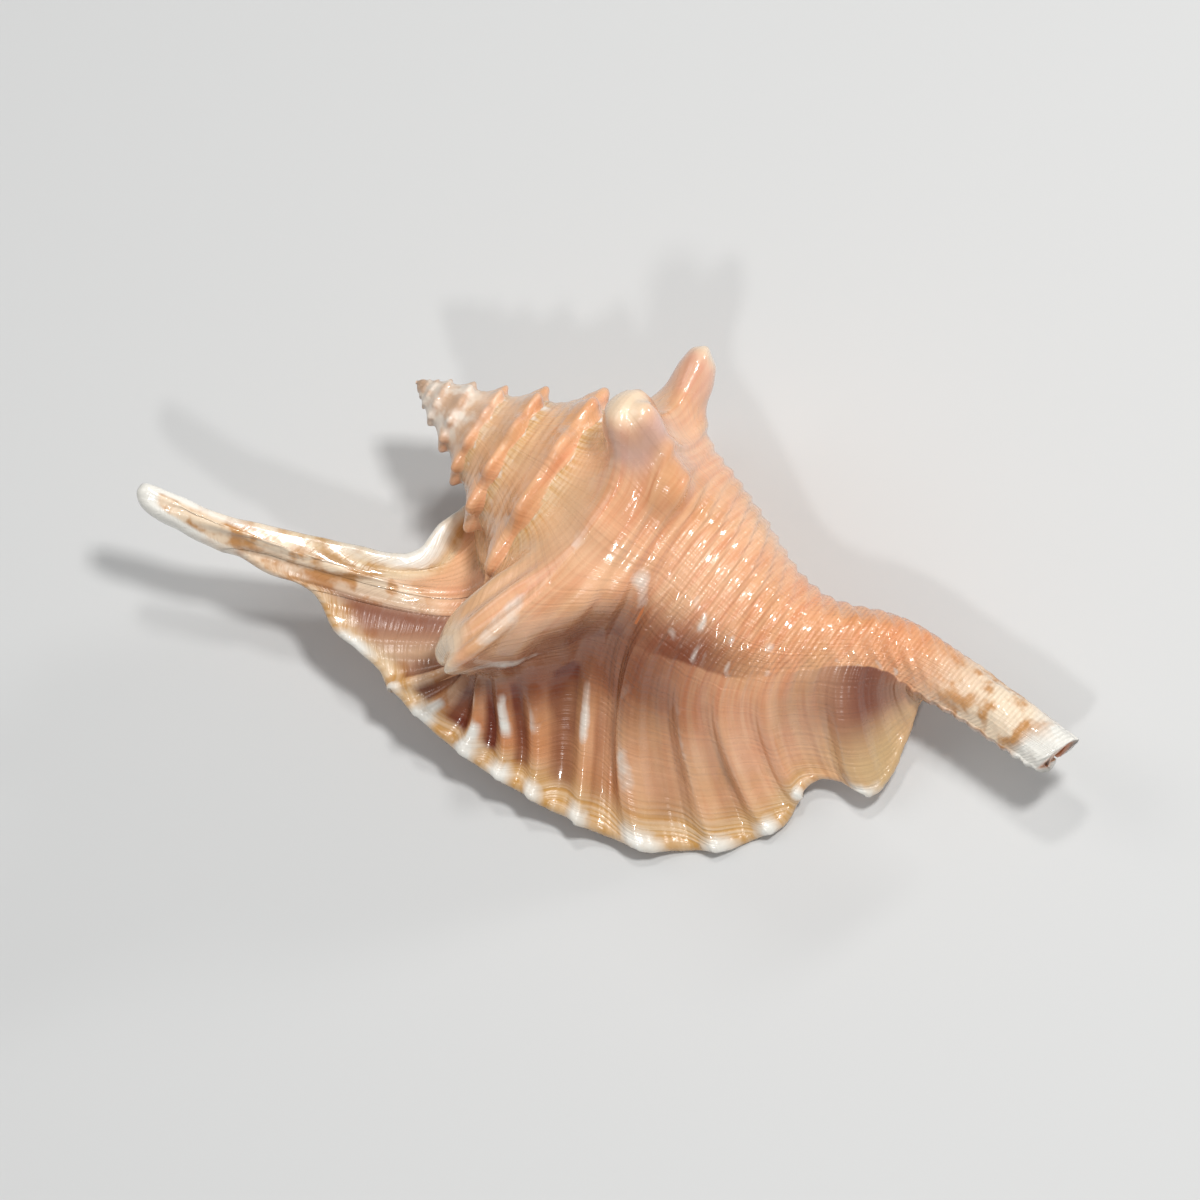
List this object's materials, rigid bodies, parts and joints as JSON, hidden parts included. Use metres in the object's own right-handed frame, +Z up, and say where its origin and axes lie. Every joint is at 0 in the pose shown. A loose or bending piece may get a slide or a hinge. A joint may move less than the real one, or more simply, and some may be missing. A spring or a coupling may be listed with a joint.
{
  "type": "rooster tail conch shell",
  "caption": "Glossy seashell with a stepped spire, blunt shoulder knobs, a ribbed flared lip drawn out into a long finger, and a slender canal; rests level on its underside.",
  "frame": {"origin": "middle of the shell's box in plan, on the surface that it rests on", "axes": "+X runs along the coiling axis from the spire to the canal, the longest extent; +Z is up as the shell rests; the flared lip is on the -Y side"},
  "size_m": [0.1416, 0.071, 0.0512],
  "materials": {
    "shell": "glossy peach-orange shell with a cream-white, brown-mottled ribbed lip and ivory knobs"
  },
  "bodies": {
    "root": {"conch_shell": "shell"}
  },
  "joints": []
}
